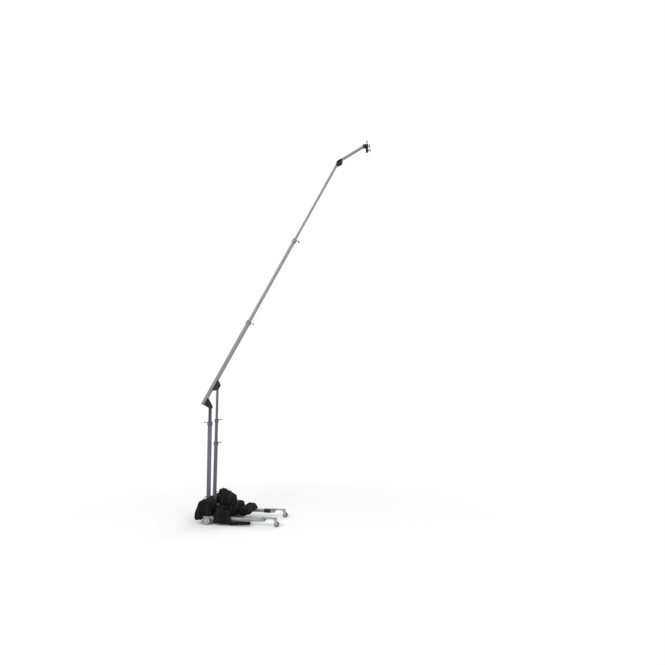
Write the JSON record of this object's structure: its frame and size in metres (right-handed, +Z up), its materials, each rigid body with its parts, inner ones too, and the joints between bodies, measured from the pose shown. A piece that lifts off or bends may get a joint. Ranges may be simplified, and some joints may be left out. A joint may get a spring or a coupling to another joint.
{
  "type": "overhead boom arm",
  "caption": "Wheeled, ballasted stand whose mast and strut carry a telescoping boom with a drooping nose and a lamp receiver.",
  "frame": {"origin": "middle of the whole machine's outline on the floor, at rest with the boom raised", "axes": "+Z up, +X from the mast towards the receiver, +Y to the machine's left-hand side as seen from behind"},
  "size_m": [3.3688, 0.8506, 7.4336],
  "materials": {
    "boom_alloy": "satin",
    "frame_paint": "satin",
    "black_steel": "satin",
    "deck_black": "matte",
    "zinc_steel": "satin",
    "wheel_alloy": "satin",
    "light_rubber": "matte",
    "black_rubber": "matte",
    "black_plastic": "matte",
    "guide_nylon": "matte",
    "ballast_cloth": "matte"
  },
  "bodies": {
    "base": {"base_frame": "frame_paint", "deck_plate": "deck_black", "foot_bracket": "frame_paint", "mast_bolt_low": "zinc_steel", "mast_bolt_high": "zinc_steel", "nose_plate_left": "frame_paint", "nose_plate_right": "frame_paint", "leg_wrap": "black_rubber", "rear_axle": "zinc_steel", "bag_rear_left": "ballast_cloth", "bag_rear_right": "ballast_cloth", "bag_lower": "ballast_cloth", "bag_upper": "ballast_cloth", "bag_front": "ballast_cloth", "bag_side": "ballast_cloth", "mast_outer": "boom_alloy", "mast_collar": "black_steel"},
    "rear_wheel_l": {"rear_wheel_left": "wheel_alloy", "rear_tyre_left": "light_rubber"},
    "rear_wheel_r": {"rear_wheel_right": "wheel_alloy", "rear_tyre_right": "light_rubber"},
    "caster_l": {"caster_yoke_left": "zinc_steel"},
    "caster_r": {"caster_yoke_right": "zinc_steel"},
    "caster_wheel_l": {"caster_wheel_left": "light_rubber"},
    "caster_wheel_r": {"caster_wheel_right": "light_rubber"},
    "mast_knob_body": {"mast_knob": "black_steel"},
    "mast_slider": {"mast_inner": "boom_alloy"},
    "boom": {"boom_outer": "boom_alloy", "boom_end_cap": "black_plastic", "rear_gusset": "black_steel", "front_gusset": "black_steel", "mast_pivot_bolt": "zinc_steel", "strut_pivot_bolt": "zinc_steel", "boom_collar_rear": "black_steel"},
    "boom_knob_rear_body": {"boom_knob_rear": "black_steel"},
    "boom_middle": {"boom_mid": "boom_alloy", "boom_mid_shoe": "guide_nylon", "boom_collar_front": "black_steel"},
    "boom_knob_front_body": {"boom_knob_front": "black_steel"},
    "boom_front": {"boom_tip": "boom_alloy", "boom_tip_shoe": "guide_nylon", "knuckle_bracket": "black_steel", "knuckle_bolt": "zinc_steel"},
    "knuckle_knob_body": {"knuckle_knob": "zinc_steel"},
    "nose": {"nose_tube": "boom_alloy"},
    "head": {"head_block": "black_steel", "head_bolt": "zinc_steel"},
    "head_knob_body": {"head_knob": "black_steel"},
    "receiver_swivel": {"receiver": "black_steel"},
    "receiver_screw_body": {"receiver_screw": "black_steel"},
    "swivel_knob_body": {"swivel_knob": "black_steel"},
    "strut_top": {"strut_upper": "boom_alloy"},
    "strut_middle": {"strut_mid": "boom_alloy", "strut_collar_upper": "black_steel"},
    "strut_foot": {"strut_lower": "boom_alloy", "strut_collar_lower": "black_steel", "strut_foot_pin": "zinc_steel"},
    "strut_knob_upper_body": {"strut_knob_upper": "black_steel"},
    "strut_knob_lower_body": {"strut_knob_lower": "black_steel"}
  },
  "joints": [
    {"name": "mast_lift", "type": "slide", "parent": "base", "child": "mast_slider", "axis": [0, 0, 1], "range_m": [-0.2, 0.6]},
    {"name": "arm_tilt", "type": "hinge", "parent": "mast_slider", "child": "boom", "pos_m": [-1.50051, 0, 2.23], "axis": [0, -1, 0], "range_deg": [-60.5, 8]},
    {"name": "boom_mid_slide", "type": "slide", "parent": "boom", "child": "boom_middle", "axis": [0.4924, 0, 0.8704], "range_m": [-1.6, 0.05]},
    {"name": "boom_tip_slide", "type": "slide", "parent": "boom_middle", "child": "boom_front", "axis": [0.4924, 0, 0.8704], "range_m": [-1.5, 0.05]},
    {"name": "nose_bend", "type": "hinge", "parent": "boom_front", "child": "nose", "pos_m": [1.05652, 0, 7.07039], "axis": [0, 1, 0], "range_deg": [-32, 58]},
    {"name": "head_tilt", "type": "hinge", "parent": "nose", "child": "head", "pos_m": [1.55305, 0, 7.33998], "axis": [0, 1, 0], "range_deg": [-62, 34]},
    {"name": "receiver_pan", "type": "hinge", "parent": "head", "child": "receiver_swivel", "pos_m": [1.61167, 0, 7.33998], "axis": [0, 0, 1], "continuous": true},
    {"name": "strut_swing", "type": "hinge", "parent": "boom", "child": "strut_top", "pos_m": [-1.35461, 0, 2.63002], "axis": [0, 1, 0], "range_deg": [-53, 8]},
    {"name": "strut_reach", "type": "slide", "parent": "strut_top", "child": "strut_middle", "axis": [-0.0087, 0, -1], "range_m": [-0.29, 0.05]},
    {"name": "strut_drop", "type": "slide", "parent": "strut_middle", "child": "strut_foot", "axis": [-0.0087, 0, -1], "range_m": [-0.2, 0.6]},
    {"name": "rear_spin_left", "type": "hinge", "parent": "base", "child": "rear_wheel_l", "pos_m": [-1.35051, -0.398, 0.075], "axis": [0, 1, 0], "continuous": true},
    {"name": "rear_spin_right", "type": "hinge", "parent": "base", "child": "rear_wheel_r", "pos_m": [-1.35051, 0.398, 0.075], "axis": [0, 1, 0], "continuous": true},
    {"name": "caster_swivel_left", "type": "hinge", "parent": "base", "child": "caster_l", "pos_m": [-0.04451, -0.33, 0], "axis": [0, 0, 1], "continuous": true},
    {"name": "caster_swivel_right", "type": "hinge", "parent": "base", "child": "caster_r", "pos_m": [-0.04451, 0.33, 0], "axis": [0, 0, 1], "continuous": true},
    {"name": "caster_spin_left", "type": "hinge", "parent": "caster_l", "child": "caster_wheel_l", "pos_m": [-0.01051, -0.33, 0.05], "axis": [0, 1, 0], "continuous": true},
    {"name": "caster_spin_right", "type": "hinge", "parent": "caster_r", "child": "caster_wheel_r", "pos_m": [-0.01051, 0.33, 0.05], "axis": [0, 1, 0], "continuous": true},
    {"name": "mast_knob_turn", "type": "hinge", "parent": "base", "child": "mast_knob_body", "pos_m": [-1.52621, 0, 1.9159], "axis": [-1, 0, 0], "range_deg": [-180, 0]},
    {"name": "boom_knob_rear_turn", "type": "hinge", "parent": "boom", "child": "boom_knob_rear_body", "pos_m": [-0.69827, 0, 3.91662], "axis": [0.8704, 0, -0.4924], "range_deg": [-180, 0]},
    {"name": "boom_knob_front_turn", "type": "hinge", "parent": "boom_middle", "child": "boom_knob_front_body", "pos_m": [0.21211, 0, 5.53861], "axis": [0.8704, 0, -0.4924], "range_deg": [-180, 0]},
    {"name": "knuckle_knob_turn", "type": "hinge", "parent": "boom_front", "child": "knuckle_knob_body", "pos_m": [1.05652, 0, 7.07039], "axis": [0, -1, 0], "range_deg": [-180, 0]},
    {"name": "head_knob_turn", "type": "hinge", "parent": "head", "child": "head_knob_body", "pos_m": [1.62397, 0, 7.33998], "axis": [1, 0, 0], "range_deg": [-180, 0]},
    {"name": "receiver_screw_turn", "type": "hinge", "parent": "receiver_swivel", "child": "receiver_screw_body", "pos_m": [1.62587, 0, 7.25468], "axis": [1, 0, 0], "range_deg": [-180, 0]},
    {"name": "swivel_knob_turn", "type": "hinge", "parent": "receiver_swivel", "child": "swivel_knob_body", "pos_m": [1.61167, 0, 7.33998], "axis": [0, 0, 1], "range_deg": [-180, 0]},
    {"name": "strut_knob_upper_turn", "type": "hinge", "parent": "strut_middle", "child": "strut_knob_upper_body", "pos_m": [-1.34106, 0, 1.97177], "axis": [1, 0, -0.0087], "range_deg": [-180, 0]},
    {"name": "strut_knob_lower_turn", "type": "hinge", "parent": "strut_foot", "child": "strut_knob_lower_body", "pos_m": [-1.34048, 0, 1.52174], "axis": [1, 0, -0.0087], "range_deg": [-180, 0]}
  ],
  "couplings": [
    {"joint": "strut_swing", "follows": "arm_tilt", "ratio": 0.865},
    {"joint": "strut_reach", "follows": "arm_tilt", "m_per_rad": 0.27},
    {"joint": "strut_drop", "follows": "mast_lift", "ratio": 1}
  ]
}
